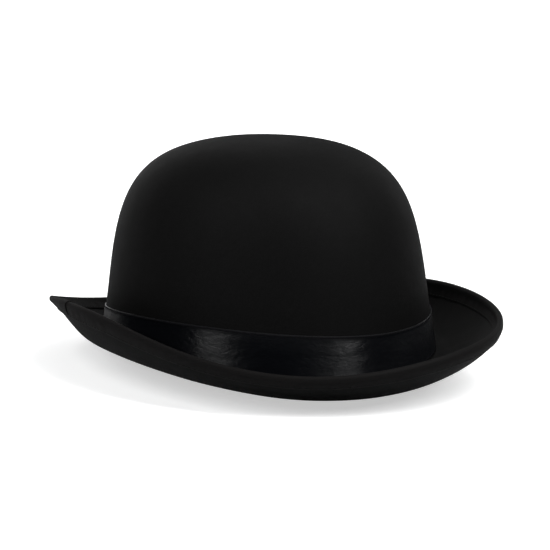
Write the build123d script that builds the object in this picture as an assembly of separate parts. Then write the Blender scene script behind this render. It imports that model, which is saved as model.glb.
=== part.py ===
from build123d import *
from math import cos, exp, pi, sin
import os

# A bowler hat: a domed crown, a curled brim with a bound and wired edge, a satin hat band,
# a lining and a reeded sweatband. Millimetres, +Z up, the front of the hat towards -Y.
# Angles run from the front (0) over the wearer's left side (+X, a quarter turn) to the back.

# Crown
crown_half_length = 103.0  # outside of the crown at the headline, front to back
crown_width_ratio = 0.86  # width of the head oval over its length
crown_height = 118.6  # headline to the top of the dome
crown_taper = 0.16  # how much the walls draw in towards the top
dome_flatness = 6.0  # higher is a flatter top
dome_shoulder = 2.75  # higher is a squarer shoulder
cover_thickness = 0.8  # felt-faced outer cloth of crown and brim
body_thickness = 2.4  # moulded body of the crown

# Headline, where crown and brim meet, as heights that vary round the head
headline_saddle = 5.0  # front and back lower and the sides higher by this
headline_front_rise = 0.9
headline_left_rise = -1.4
headline_twist = 1.9

# Brim
brim_half_width = 108.0
brim_mean_reach = 149.7  # middle of the crown to the brim's edge, front and back averaged
brim_front_extra = 6.0  # the front reaches this much further, the back this much less
brim_corner_fullness = 0.04  # how far the plan swells past an ellipse at its four corners
side_curl_height = 31.7
front_curl_height = 18.0
back_curl_height = 11.2
corner_curl_dip = 2.3  # the edge sits lower between front and side
curl_twist = 3.5
curl_left_rise = 0.8
curl_third_wave = 1.6
brim_dip_front = 6.6  # pull of the brim below the headline before it curls up
brim_dip_side = 1.2
back_quarter_lean = 12.0  # how far the curl leans outwards at the two back quarters
back_quarter_place = -0.6  # their place, as the cosine of the angle from the front
back_quarter_spread = 0.3
board_thickness = 1.2

# Edge of the brim
binding_width = 5.8  # visible on each face
binding_thickness = 0.45
wire_diameter = 1.4
wire_seat = 1.25  # middle of the wire past the cut edge of the brim
edge_join_angle = 252.0  # where the binding laps and the wire ends meet, in degrees
stitch_inset = 4.7  # thread line from the cut edge
thread_diameter = 0.4

# Hat band
band_top_height = 26.15  # above the mean headline
band_saddle = 2.8
band_front_rise = 0.9
band_left_rise = -0.5
band_twist = -1.5
band_thickness = 0.6
selvedge_width = 1.2
selvedge_thickness = 0.85
band_lap_angle = 100.0
band_lap_width = 16.0

# Inside of the crown
lining_thickness = 0.4
lining_split_height = 78.0  # seam between the side band and the tip
sweatband_height = 38.0
sweatband_thickness = 0.9
reed_diameter = 1.7

FIT = 0.05  # clearance between neighbouring layers
RING_STEPS = 32
brim_thickness = 2 * cover_thickness + board_thickness


def swell(t, front, left, saddle, twist):
    """A height that varies smoothly round the head."""
    return front * cos(t) + left * sin(t) - saddle * cos(2 * t) + twist * sin(2 * t)


def headline(t):
    return swell(t, headline_front_rise, headline_left_rise, headline_saddle, headline_twist)


def band_top(t):
    return band_top_height + swell(t, band_front_rise, band_left_rise, band_saddle, band_twist)


def wall(z):
    """Outer half-length of the crown at height z."""
    w = z / crown_height
    dome = (1 - max(w, 0.0) ** dome_flatness) ** (1 / dome_shoulder)
    return crown_half_length * (1 - crown_taper * w) * dome


def at_wall(t, z, gap):
    """A point a gap outside (or, if negative, inside) the crown's outer face."""
    r = wall(z) + gap
    return Vector(crown_width_ratio * r * sin(t), -r * cos(t), z)


# Rings: every layer that goes round the head is a closed section carried round in smooth steps.


def ring(section, start=0.0, stop=360.0, steps=RING_STEPS):
    """Solid swept by section(t), a closed loop of Bezier pieces, from one angle to another."""
    first, last = start * pi / 180, stop * pi / 180
    span = (last - first) / steps
    nudge = 1e-4
    faces = []
    stations = []
    for k in range(steps + 1):
        t = first + k * span
        stations.append((section(t), section(t - nudge), section(t + nudge)))
    if stop - start == 360.0:
        stations[-1] = stations[0]
    for (a, a0, a1), (b, b0, b1) in zip(stations, stations[1:]):
        for i, piece in enumerate(a):
            rows = []
            for j, point in enumerate(piece):
                lead = (a1[i][j] - a0[i][j]) * (span / (6 * nudge))
                trail = (b1[i][j] - b0[i][j]) * (span / (6 * nudge))
                rows.append([point, point + lead, b[i][j] - trail, b[i][j]])
            faces.append(Face.make_bezier_surface(rows))
    if stop - start != 360.0:
        for end in (stations[0][0], stations[-1][0]):
            faces.append(Face(Wire([Edge.make_bezier(*piece) for piece in end])))
    return Solid(Shell(faces))


def polygon(points):
    """Closed loop of straight pieces."""
    return [[a, b] for a, b in zip(points, points[1:] + points[:1])]


def bulge(p, q, out):
    """Half-round Bezier from p to q that swells along the unit vector out."""
    handle = out * ((q - p).length * 2 / 3)
    return [p, p + handle, q + handle, q]


def many_sided(centre, a, b, sides):
    """Even-sided section about centre, spanned by the vectors a and b."""
    turns = [2 * pi * k / sides for k in range(sides)]
    return polygon([centre + a * cos(turn) + b * sin(turn) for turn in turns])


# Crown


def meridian(depth, lowest):
    """Outline of the crown from a lowest height up to the top, offset inwards by depth."""
    heights = [lowest, 0.0, 25.0, 45.0]
    outline = [Vector(wall(z), 0, z) for z in heights]
    for k in range(1, 14):
        turn = pi / 2 * k / 14
        z = crown_height * sin(turn) ** (2 / dome_flatness)
        outline.append(Vector(wall(z), 0, z))
    outer = Spline(outline + [Vector(0, 0, crown_height)])
    if depth == 0:
        return outer
    inner = []
    for k in range(24):
        u = k / 24
        inner.append(outer @ u + (outer % u).cross(Vector(0, 1, 0)) * depth)
    return Spline(inner + [Vector(0, 0, crown_height - depth)])


def dome(outer_depth, inner_depth, lowest):
    """Shell between two depths under the crown's outer face."""
    outer, inner = meridian(outer_depth, lowest), meridian(inner_depth, lowest)
    top = Line(outer @ 1, inner @ 1)
    foot = Line(inner @ 0, outer @ 0)
    profile = make_face([outer, top, inner, foot])
    return scale(revolve(profile, Axis.Z, 360), by=(crown_width_ratio, 1, 1))


def below_headline(deep=60.0):
    """Everything under the curved surface on which crown and brim meet."""
    a, b = crown_width_ratio * crown_half_length, crown_half_length
    reach = 130.0

    def height(x, y):
        saddle = -headline_saddle * (2 * (y / b) ** 2 - 1)
        lean = -headline_front_rise * y / b + headline_left_rise * x / a
        return saddle + lean - 2 * headline_twist * x * y / (a * b)

    rows = []
    for i in (-1, 0, 1):
        row = []
        for j in (-1, 0, 1):
            x, y = i * reach, j * reach
            # control heights of the quadratic patch, from its blossom
            z = blossom(height, x, y, i, j, reach)
            row.append(Vector(x, y, z))
        rows.append(row)
    return extrude(Face.make_bezier_surface(rows), amount=deep, dir=(0, 0, -1))


def blossom(height, x, y, i, j, reach):
    """Control height of a quadratic patch over the square of half-side reach."""
    z = height(x, y)
    if i == 0:
        z = z + (height(0, y) * 2 - height(-reach, y) - height(reach, y)) / 2
    if j == 0:
        z = z + (height(x, 0) * 2 - height(x, -reach) - height(x, reach)) / 2
    return z


def crown_cover():
    return dome(0, cover_thickness, -12.0) - below_headline()


def crown_body():
    outer = cover_thickness + FIT
    return dome(outer, outer + body_thickness, -12.0) - below_headline()


# Brim


def brim_edge(t):
    """Topmost line of the rim."""
    c, s = cos(t), sin(t)
    corner = 4 * s * s * c * c
    end = (front_curl_height * (1 + c) + back_curl_height * (1 - c)) / 2
    z = end * c * c + side_curl_height * s * s - corner_curl_dip * corner
    z = z + curl_left_rise * s + curl_twist * sin(2 * t) + curl_third_wave * sin(3 * t)
    full = 1 + brim_corner_fullness * corner
    reach = brim_mean_reach + brim_front_extra * c
    return Vector(brim_half_width * s * full, -reach * c * full, z)


def brim_curve(t, depth):
    """Profile of the brim, headline to rim, at a depth above its underside."""
    c, s = cos(t) ** 2, sin(t) ** 2
    root = at_wall(t, headline(t), 0)
    edge = brim_edge(t)
    flat = Vector(edge.X - root.X, edge.Y - root.Y, 0)
    reach, rise = flat.length, edge.Z - root.Z
    out, up = flat.normalized(), Vector(0, 0, 1)
    dip = brim_dip_side * s + brim_dip_front * c
    knee = root + out * (reach * (0.33 * s + 0.40 * c)) - up * dip
    lean = back_quarter_lean * exp(-(((cos(t) - back_quarter_place) / back_quarter_spread) ** 2))
    shin = edge + out * (0.5 * s - 0.4 * c - lean) - up * (rise * (0.43 * s + 0.34 * c))
    tip = (edge - shin).normalized()
    rim = edge - tip * (wire_seat + wire_diameter / 2 + 2 * binding_thickness)
    legs = [(knee - root).normalized(), (shin - knee).normalized(), tip]
    normals = [up * leg.dot(out) - out * leg.Z for leg in legs]
    n1, n2, n3 = normals
    step = at_wall(t, headline(t) + depth, 2 * FIT) - root
    first = root + out * step.dot(out) + up * depth
    knee = knee + (n1 + n2) * (depth / (1 + n1.dot(n2)))
    shin = shin + (n2 + n3) * (depth / (1 + n2.dot(n3)))
    return [first, knee, shin, rim + n3 * depth]


def brim_layer(low, high):
    """Ring between two depths of the brim."""

    def section(t):
        under, over = brim_curve(t, low), brim_curve(t, high)
        return [under, [under[3], over[3]], over[::-1], [over[0], under[0]]]

    return ring(section)


def along(curve, r):
    """Split a Bezier at r: its point there and the control points of what follows."""
    a, b, c, d = curve
    ab, bc, cd = a + (b - a) * r, b + (c - b) * r, c + (d - c) * r
    abc, bcd = ab + (bc - ab) * r, bc + (cd - bc) * r
    point = abc + (bcd - abc) * r
    return point, [point, bcd, cd, d]


def inset(curve, distance):
    """Where on the profile a point lies a straight distance in from the rim."""
    low, high = 0.2, 1.0
    for _ in range(30):
        mid = (low + high) / 2
        if (along(curve, mid)[0] - curve[3]).length > distance:
            low = mid
        else:
            high = mid
    return (low + high) / 2


def edge_axes(t):
    """Unit vectors at the rim: along the profile and up through the brim."""
    under, over = brim_curve(t, 0), brim_curve(t, brim_thickness)
    return (under[3] - under[2]).normalized(), (over[3] - under[3]).normalized()


def binding_section(low_gap, high_gap, width):
    """Folded strip round the rim, between two gaps off the brim's faces."""

    def section(t):
        tip, _ = edge_axes(t)
        seat = tip * wire_seat
        loop = []
        for gap, forward in ((high_gap, True), (low_gap, False)):
            under = brim_curve(t, -gap)
            over = brim_curve(t, brim_thickness + gap)
            under = along(under, inset(under, width))[1]
            over = along(over, inset(over, width))[1]
            walk = [under, [under[3], under[3] + seat]]
            walk.append(bulge(under[3] + seat, over[3] + seat, tip))
            walk += [[over[3] + seat, over[3]], over[::-1]]
            loop.append(walk if forward else [piece[::-1] for piece in walk[::-1]])
        outer, inner = loop
        return outer + [[outer[-1][-1], inner[0][0]]] + inner + [[inner[-1][-1], outer[0][0]]]

    return section


def brim_binding():
    return ring(binding_section(FIT, FIT + binding_thickness, binding_width))


def brim_binding_lap():
    low = 2 * FIT + binding_thickness
    section = binding_section(low, low + binding_thickness, stitch_inset - 0.8)
    return ring(section, edge_join_angle, edge_join_angle + 5.5, 1)


def wire_section(radius):
    def section(t):
        tip, up = edge_axes(t)
        centre = brim_curve(t, brim_thickness / 2)[3] + tip * wire_seat
        return many_sided(centre, tip * radius, up * radius, 12)

    return section


def brim_wire():
    start = edge_join_angle + 2.0
    return ring(wire_section(wire_diameter / 2), start, start + 359.5, RING_STEPS)


def brim_wire_sleeve():
    start, stop = edge_join_angle - 0.8, edge_join_angle + 4.2
    tube = ring(wire_section(wire_diameter / 2 + 0.4), start, stop, 1)
    return tube - ring(wire_section(wire_diameter / 2 + FIT), start - 0.5, stop + 0.5, 1)


def binding_thread(over):
    """One thread line of the binding, on the upper or the under face."""
    radius = thread_diameter / 2
    lift = 2 * FIT + binding_thickness + radius

    def section(t):
        tip, up = edge_axes(t)
        curve = brim_curve(t, brim_thickness + lift if over else -lift)
        centre = along(curve, inset(curve, stitch_inset))[0]
        return many_sided(centre, tip * radius, up * radius, 6)

    return ring(section)


# Hat band


def band_section(gap, thick, edge_thick):
    """Ribbon section with a thicker woven selvedge along both edges."""

    def section(t):
        low = headline(t) + brim_thickness + 0.5
        high = band_top(t)
        heights = [low, low + selvedge_width, high - selvedge_width, high]
        a, b, c, d = heights
        face = [(edge_thick, a), (edge_thick, b), (thick, b), (thick, c), (edge_thick, c)]
        points = [at_wall(t, a, gap)] + [at_wall(t, z, gap + g) for g, z in face]
        points += [at_wall(t, d, gap + edge_thick), at_wall(t, d, gap)]
        return polygon(points)

    return section


def hat_band():
    return ring(band_section(FIT, band_thickness, selvedge_thickness))


def hat_band_lap():
    gap = 2 * FIT + selvedge_thickness
    half = band_lap_width / 2 / (crown_half_length * crown_width_ratio) * 180 / pi
    section = band_section(gap, band_thickness, band_thickness + 0.1)
    return ring(section, band_lap_angle - half, band_lap_angle + half, 2)


def hat_band_tacks():
    """Short upright stitches that hold down the end of the lap."""
    gap = 3 * FIT + selvedge_thickness + band_thickness + 0.1 + thread_diameter / 2
    half = band_lap_width / 2 / (crown_half_length * crown_width_ratio)
    t = band_lap_angle * pi / 180 + half - 0.02
    stitches = []
    low = headline(t) + brim_thickness + 1.5
    for k in range(5):
        z = low + k * (band_top(t) - low - 3.2) / 4
        foot, head = at_wall(t, z, gap), at_wall(t, z + 2.2, gap)
        plane = Plane(origin=foot, z_dir=head - foot)
        stitches.append(Solid.make_cylinder(thread_diameter / 2, (head - foot).length, plane))
    return Compound(stitches)


# Lining and sweatband


def lining_gap():
    return cover_thickness + body_thickness + 6 * FIT


def wall_curve(t, low, high, gap):
    """Bezier that follows the crown's wall between two heights."""
    third = (high - low) / 3
    a, b = at_wall(t, low, gap), at_wall(t, high, gap)
    lead = (at_wall(t, low + 0.01, gap) - a) * (third / 0.01)
    trail = (b - at_wall(t, high - 0.01, gap)) * (third / 0.01)
    return [a, a + lead, b - trail, b]


def lining_side_band():
    near = lining_gap()

    def section(t):
        low, high = headline(t) + 3.0, lining_split_height - 0.2
        outer = wall_curve(t, low, high, -near)
        inner = wall_curve(t, low, high, -near - lining_thickness)
        return [outer, [outer[3], inner[3]], inner[::-1], [inner[0], outer[0]]]

    return ring(section)


def lining_tip():
    near = lining_gap()
    whole = dome(near, near + lining_thickness, -12.0)
    return whole - Pos(0, 0, lining_split_height - 100) * Box(300, 300, 200)


def lining_seam_thread():
    radius = thread_diameter / 2
    inside = lining_gap() + lining_thickness + 2 * FIT + 0.3 + radius

    def section(t):
        side = Vector(crown_width_ratio * sin(t), -cos(t), 0) * radius
        centre = at_wall(t, lining_split_height, -inside)
        return many_sided(centre, side, Vector(0, 0, radius), 6)

    return ring(section)


def sweat_gap():
    return lining_gap() + lining_thickness + 2 * FIT


def sweatband():
    """Leather strip, turned up in a roll round the reed at its foot, open at the back seam."""
    near, thick = sweat_gap(), sweatband_thickness
    far = near + 2 * thick + reed_diameter + 2 * FIT

    def section(t):
        base = headline(t) + far / 2 - near / 2 + 0.6
        top = sweatband_height
        down = Vector(0, 0, -1)

        def p(gap, z):
            return at_wall(t, z, -gap)

        outer = bulge(p(near, base), p(far, base), down)
        inner = bulge(p(far - thick, base), p(near + thick, base), down)
        lip = [p(far, base), p(far, base + 3), p(far - thick, base + 3), p(far - thick, base)]
        lips = [[a, b] for a, b in zip(lip, lip[1:])]
        rest = [p(near + thick, base), p(near + thick, top), p(near, top), p(near, base)]
        return [outer] + lips + [inner] + [[a, b] for a, b in zip(rest, rest[1:])]

    return ring(section, 180.6, 539.4)


def sweatband_reed():
    near, radius = sweat_gap(), reed_diameter / 2
    middle = near + sweatband_thickness + radius + FIT

    def section(t):
        side = Vector(crown_width_ratio * sin(t), -cos(t), 0) * radius
        base = headline(t) + sweatband_thickness + radius + FIT + 0.6
        centre = at_wall(t, base, -middle)
        return many_sided(centre, side, Vector(0, 0, side.length), 12)

    return ring(section, 181.0, 539.0)


def headline_thread():
    """Seam thread under the foot of the crown."""
    radius = thread_diameter / 2
    inside = cover_thickness + body_thickness / 2

    def section(t):
        side = Vector(crown_width_ratio * sin(t), -cos(t), 0) * radius
        centre = at_wall(t, headline(t) - radius - FIT, -inside)
        return many_sided(centre, side, Vector(0, 0, radius), 6)

    return ring(section)


def size_label():
    near = sweat_gap() + sweatband_thickness + FIT

    def section(t):
        points = [at_wall(t, z, -g) for z, g in ((13, near), (31, near))]
        points += [at_wall(t, z, -g) for z, g in ((31, near + 0.3), (13, near + 0.3))]
        return polygon(points)

    return ring(section, 190.0, 206.0, 2)


def sweatband_bow():
    """Narrow tape bow over the back seam of the sweatband."""
    near = sweat_gap() + 2 * sweatband_thickness + reed_diameter + 4 * FIT + 2.2
    middle = at_wall(pi, headline(pi) + 9.0, -near)
    loop = Ellipse(6.5, 2.0) - Ellipse(5.9, 1.4)
    tape = extrude(loop, amount=2.5, both=True)
    knot = Cylinder(2.0, 5.4)
    bow = Pos(5.8, 0, 0) * tape + Pos(-5.8, 0, 0) * tape + knot
    return Pos(middle.X, middle.Y, middle.Z) * bow


def all_pieces():
    t1, t2 = cover_thickness, cover_thickness + board_thickness
    return {
        "crown_cover": crown_cover(),
        "crown_body": crown_body(),
        "brim_under_cover": brim_layer(0, t1),
        "brim_board": brim_layer(t1, t2),
        "brim_upper_cover": brim_layer(t2, brim_thickness),
        "brim_binding": brim_binding(),
        "brim_binding_lap": brim_binding_lap(),
        "brim_wire": brim_wire(),
        "brim_wire_sleeve": brim_wire_sleeve(),
        "binding_thread_upper": binding_thread(True),
        "binding_thread_under": binding_thread(False),
        "hat_band": hat_band(),
        "hat_band_lap": hat_band_lap(),
        "hat_band_tacks": hat_band_tacks(),
        "lining_side_band": lining_side_band(),
        "lining_tip": lining_tip(),
        "lining_seam_thread": lining_seam_thread(),
        "sweatband": sweatband(),
        "sweatband_reed": sweatband_reed(),
        "sweatband_bow": sweatband_bow(),
        "headline_thread": headline_thread(),
        "size_label": size_label(),
    }


os.makedirs("parts", exist_ok=True)
pieces = all_pieces()
box = Compound([shape for shape in pieces.values()]).bounding_box()
to_floor = Pos(-box.center().X, -box.center().Y, -box.min.Z)
for name, shape in pieces.items():
    export_step(to_floor * shape, f"parts/{name}.step")
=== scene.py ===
from math import cos, exp, pi, radians, sin

import bmesh
import bpy
import numpy as np
from mathutils import Matrix, Vector, noise


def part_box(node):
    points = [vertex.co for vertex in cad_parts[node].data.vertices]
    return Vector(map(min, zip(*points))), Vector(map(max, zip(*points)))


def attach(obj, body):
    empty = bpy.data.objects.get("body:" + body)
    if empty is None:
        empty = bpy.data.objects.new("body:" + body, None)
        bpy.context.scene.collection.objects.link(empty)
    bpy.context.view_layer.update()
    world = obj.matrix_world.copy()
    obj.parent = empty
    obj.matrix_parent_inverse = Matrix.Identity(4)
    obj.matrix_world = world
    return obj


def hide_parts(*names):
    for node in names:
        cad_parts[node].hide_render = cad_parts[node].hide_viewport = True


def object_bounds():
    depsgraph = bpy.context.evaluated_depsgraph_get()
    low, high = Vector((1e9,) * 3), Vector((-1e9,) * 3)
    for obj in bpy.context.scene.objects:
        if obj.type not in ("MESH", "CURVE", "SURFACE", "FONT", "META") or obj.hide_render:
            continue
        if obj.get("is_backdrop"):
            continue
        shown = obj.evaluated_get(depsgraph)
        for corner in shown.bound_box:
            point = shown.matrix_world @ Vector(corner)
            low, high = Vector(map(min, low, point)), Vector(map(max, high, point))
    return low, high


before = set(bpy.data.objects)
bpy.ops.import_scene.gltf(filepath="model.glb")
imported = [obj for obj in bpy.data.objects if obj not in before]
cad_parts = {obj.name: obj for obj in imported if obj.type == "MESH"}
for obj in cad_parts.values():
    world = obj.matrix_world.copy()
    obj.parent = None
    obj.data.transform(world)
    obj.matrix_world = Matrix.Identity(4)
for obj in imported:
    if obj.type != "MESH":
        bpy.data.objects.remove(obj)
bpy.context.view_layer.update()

# ---------------------------------------------------------------------------------------
# Crown body. A shell of thick wool felt, steamed and pressed over a dome-shaped block and
# stiffened with shellac. It is hidden: the cloth covers it outside and the lining inside.
# Lengths are in millimetres about the centre of the head; angles run from the front of the
# hat towards the wearer's left.

MM = 0.001
crown_half_length = 103.0
crown_width_ratio = 0.86
crown_height = 118.6
crown_taper = 0.16
dome_flatness = 6.0
dome_shoulder = 2.75
cover_thickness = 0.8
body_thickness = 2.4
lining_gap = cover_thickness + body_thickness + 0.3

tip_low, tip_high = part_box("lining_tip")
head_centre = Vector(
    (
        (tip_low.x + tip_high.x) / 2,
        (tip_low.y + tip_high.y) / 2,
        tip_high.z - (crown_height - lining_gap) * MM,
    )
)


def linear(code):
    """Linear colour from an sRGB hex value."""
    channels = [int(code[i : i + 2], 16) / 255 for i in (1, 3, 5)]
    return [c / 12.92 if c < 0.04045 else ((c + 0.055) / 1.055) ** 2.4 for c in channels] + [1]


def put(tree, kind, inputs=(), **settings):
    """Adds a node with its settings; an input is linked to a socket or set to a value."""
    node = tree.nodes.new(kind)
    for name, value in settings.items():
        setattr(node, name, value)
    for name, value in dict(inputs).items():
        if isinstance(value, bpy.types.NodeSocket):
            tree.links.new(value, node.inputs[name])
        else:
            node.inputs[name].default_value = value
    return node


def new_finish(name):
    material = bpy.data.materials.new(name)
    material.use_nodes = True
    material.node_tree.nodes.clear()
    return material, material.node_tree


def stiff_felt(name, clump, distortion, dark, light, lift, roughness, level):
    """Dull felt with matted fibre clumps of a size in millimetres."""
    felt, tree = new_finish(name)
    place = put(tree, "ShaderNodeTexCoord").outputs["Object"]
    size = {"Scale": 1000 / clump, "Detail": 4.0, "Distortion": distortion}
    mat = put(tree, "ShaderNodeTexNoise", {"Vector": place, **size}).outputs["Fac"]
    shades = {"Color1": linear(dark), "Color2": linear(light)}
    tone = put(tree, "ShaderNodeMixRGB", {"Fac": mat, **shades})
    relief = put(
        tree, "ShaderNodeBump", {"Height": mat, "Strength": lift, "Distance": 0.3 * MM}
    )
    skin = put(
        tree,
        "ShaderNodeBsdfPrincipled",
        {
            "Base Color": tone.outputs["Color"],
            "Roughness": roughness,
            "IOR": 1.5,
            "Specular IOR Level": level,
            "Normal": relief.outputs["Normal"],
        },
    )
    put(tree, "ShaderNodeOutputMaterial", {"Surface": skin.outputs["BSDF"]})
    return felt


# Pressed wool felt, shellacked: dense, dull, with matted fibre clumps about 1.5 mm across.
pressed_felt = stiff_felt("pressed_wool_felt", 1.5, 1.5, "#1a1817", "#393533", 0.7, 0.92, 0.25)
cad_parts["crown_body"].material_slots[0].material = pressed_felt

# ---------------------------------------------------------------------------------------
# Crown cover. One piece of thin black felt cloth, moulded wet over the body and glued to
# it, with no seams. It is pulled so taut that only very shallow unevenness is left in it.

crown_angles = 288
crown_rows = 84
unevenness = 0.28
unevenness_width = 42.0
headline_saddle = 5.0
headline_front_rise = 0.9
headline_left_rise = -1.4
headline_twist = 1.9
band_top_height = 26.15
band_front_rise = 0.9
band_left_rise = -0.5
band_saddle = 2.8
band_twist = -1.5


def swell(t, front, left, saddle, twist):
    """A height that varies smoothly round the head."""
    return front * cos(t) + left * sin(t) - saddle * cos(2 * t) + twist * sin(2 * t)


def headline(t):
    """Height at which crown and brim meet."""
    return swell(t, headline_front_rise, headline_left_rise, headline_saddle, headline_twist)


def band_top(t):
    """Height of the ribbon's upper edge."""
    return band_top_height + swell(t, band_front_rise, band_left_rise, band_saddle, band_twist)


def wall(z):
    """Outer half-length of the crown at height z."""
    w = z / crown_height
    dome = max(0.0, 1 - max(w, 0.0) ** dome_flatness) ** (1 / dome_shoulder)
    return crown_half_length * (1 - crown_taper * w) * dome


def round_crown(t, r, z):
    """A point of the crown's oval whose half-length is r."""
    return Vector((crown_width_ratio * r * sin(t), -r * cos(t), z))


def at_wall(t, z, gap):
    """A point a gap outside (or, if negative, inside) the crown's outer face."""
    return round_crown(t, wall(z) + gap, z)


def dome_profile(foot, depth, count):
    """Half outline of the crown from a foot height to the top, offset inwards by depth."""
    turns = np.linspace(0, pi / 2, 160)
    turned = crown_height * np.sin(turns) ** (2 / dome_flatness)
    straight = np.linspace(foot, 40, 40) if foot < 40 else [foot]
    heights = np.concatenate([straight, turned[turned > straight[-1] + 0.5]])
    line = np.array([(wall(z), z) for z in heights])
    slope = np.gradient(line, axis=0)
    slope /= np.linalg.norm(slope, axis=1)[:, None]
    line += np.stack([-slope[:, 1], slope[:, 0]], axis=1) * depth
    line[-1] = (0, crown_height - depth)
    run = np.concatenate([[0], np.cumsum(np.linalg.norm(np.diff(line, axis=0), axis=1))])
    even = np.linspace(0, run[-1], count)
    return np.stack([np.interp(even, run, line[:, 0]), np.interp(even, run, line[:, 1])], axis=1)


def angles(count, first=0.0, last=2 * pi):
    """Angles round the head: every step of a full turn, or both ends of a part of it."""
    whole = last - first == 2 * pi
    return [first + (last - first) * i / (count if whole else count - 1) for i in range(count)]


def cloth(name, rows, round_head=True, hem=0):
    """Mesh through rows of points, with a map whose unit is the metre.

    A row is one closed cross-section: its outer points and then as many inner ones
    backwards, so that the cut ends of a strip are closed by a band of faces. The first and
    last faces of the outside, as many as hem says, take the piece's second material.
    """
    grid = np.array(rows, float) * MM + np.array(head_centre)
    count, wide = grid.shape[:2]
    across = np.linalg.norm(np.diff(grid, axis=1, append=grid[:, :1]), axis=2)
    across = np.concatenate([np.zeros((count, 1)), np.cumsum(across, axis=1)], axis=1)
    onward = np.linalg.norm(np.diff(grid, axis=0, append=grid[:1]), axis=2).mean(axis=1)
    onward = np.concatenate([[0], np.cumsum(onward)])
    faces, places = [], []
    for i in range(count if round_head else count - 1):
        for j in range(wide):
            corners = [(i, j), (i + 1, j), (i + 1, j + 1), (i, j + 1)]
            faces.append([a % count * wide + b % wide for a, b in corners])
            places += [(onward[a], across[a % count, b]) for a, b in corners]
    if not round_head:
        for i in (0, count - 1):
            for j in range(wide // 2 - 1):
                corners = [j, j + 1, wide - 2 - j, wide - 1 - j]
                faces.append([i * wide + b for b in corners])
                places += [(onward[i], across[i, b]) for b in corners]
    mesh = bpy.data.meshes.new(name)
    mesh.from_pydata(grid.reshape(-1, 3).tolist(), [], faces)
    half = wide // 2 - 1
    for k in range(len(onward[:-1]) * wide if hem else 0):
        j = k % wide
        mesh.polygons[k].material_index = int(j < hem or half - hem <= j < half)
    mesh.uv_layers.new(name="cloth").data.foreach_set("uv", np.ravel(places))
    work = bmesh.new()
    work.from_mesh(mesh)
    bmesh.ops.remove_doubles(work, verts=work.verts, dist=1e-7)
    loose = [e for e in work.edges if not e.link_faces]
    bmesh.ops.delete(work, geom=loose, context="EDGES")
    bmesh.ops.recalc_face_normals(work, faces=work.faces)
    for face in work.faces:
        face.smooth = True
    work.to_mesh(mesh)
    work.free()
    piece = bpy.data.objects.new(name, mesh)
    bpy.context.scene.collection.objects.link(piece)
    return piece


def dress(piece, material, slot, *nodes):
    """Gives a piece its material and its place in the assembly."""
    piece.data.materials.append(material)
    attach(piece, "root")
    if nodes:
        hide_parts(*nodes)
    return piece


def ease(x, low, high):
    """Smooth step from 0 at low to 1 at high."""
    x = min(max((x - low) / (high - low), 0.0), 1.0)
    return x * x * (3 - 2 * x)


rows = []
for t in angles(crown_angles):
    outer = []
    for r, z in dome_profile(headline(t) + 0.2, 0, crown_rows):
        p = round_crown(t, r, z)
        rise = noise.noise(p / unevenness_width) * unevenness
        rise *= ease(z, band_top(t) + 2, band_top(t) + 14)
        outer.append(p * (1 + rise / crown_half_length))
    inner = []
    for r, z in dome_profile(headline(t) + 0.2, cover_thickness, crown_rows):
        inner.append(round_crown(t, r, z))
    rows.append(outer + inner[::-1])
crown_cover = cloth("crown_cover_cloth", rows)

# Brushed polyester felt cloth: a short matted pile, so it drinks light face-on and shows a
# pale bloom where it turns away. The pile's fibres are 0.02 mm thick and too fine to show,
# so they are drawn as clumps of 0.6 mm, with cloudier patches where the nap lies over.
black_felt, tree = new_finish("brushed_black_felt_cloth")
place = put(tree, "ShaderNodeTexCoord").outputs["Object"]
pile = put(
    tree,
    "ShaderNodeTexNoise",
    {"Vector": place, "Scale": 1000 / 0.6, "Detail": 3.0, "Roughness": 0.6, "Distortion": 0.8},
)
nap = put(
    tree,
    "ShaderNodeTexNoise",
    {"Vector": place, "Scale": 1000 / 11.0, "Detail": 3.0, "Roughness": 0.55},
)
strand = put(
    tree,
    "ShaderNodeTexNoise",
    {"Vector": place, "Scale": 1000 / 2.4, "Detail": 2.0, "Distortion": 3.5},
)
clumps = put(
    tree,
    "ShaderNodeMixRGB",
    {"Fac": pile.outputs["Fac"], "Color1": linear("#040404"), "Color2": linear("#090909")},
)
shades = {"Color1": clumps.outputs["Color"], "Color2": linear("#060606")}
patches = put(tree, "ShaderNodeMixRGB", {"Fac": nap.outputs["Fac"], **shades})
matted = put(
    tree,
    "ShaderNodeMath",
    {0: pile.outputs["Fac"], 1: 0.5, 2: strand.outputs["Fac"]},
    operation="MULTIPLY_ADD",
)
relief = put(
    tree,
    "ShaderNodeBump",
    {"Height": matted.outputs["Value"], "Strength": 0.55, "Distance": 0.16 * MM},
)
dulled = put(
    tree,
    "ShaderNodeMapRange",
    {"Value": nap.outputs["Fac"], "To Min": 0.62, "To Max": 0.72},
)
skin = put(
    tree,
    "ShaderNodeBsdfPrincipled",
    {
        "Base Color": patches.outputs["Color"],
        "Roughness": dulled.outputs["Result"],
        "IOR": 1.5,
        "Specular IOR Level": 0.07,
        "Sheen Weight": 0.014,
        "Sheen Roughness": 0.25,
        "Sheen Tint": linear("#d6d4d4"),
        "Normal": relief.outputs["Normal"],
    },
)
put(tree, "ShaderNodeOutputMaterial", {"Surface": skin.outputs["BSDF"]})
dress(crown_cover, black_felt, "black_felt_cloth", "crown_cover")

# ---------------------------------------------------------------------------------------
# Brim board. A flat ring of needled felt soaked in stiffener, which holds the brim's curl.
# It lies hidden between the two cloths.

# Needled felt, stiffened: grey-black, dull, with a coarse fibre mat of about 2 mm.
board_felt = stiff_felt("stiffened_needle_felt", 2.0, 2.5, "#1d1c1c", "#42403e", 0.6, 0.88, 0.3)
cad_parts["brim_board"].material_slots[0].material = board_felt

# ---------------------------------------------------------------------------------------
# Brim covers. Two rings of the crown's felt cloth, glued to the board's two faces. Both are
# cut flush at the rim, where the binding hides their edges.

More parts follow.
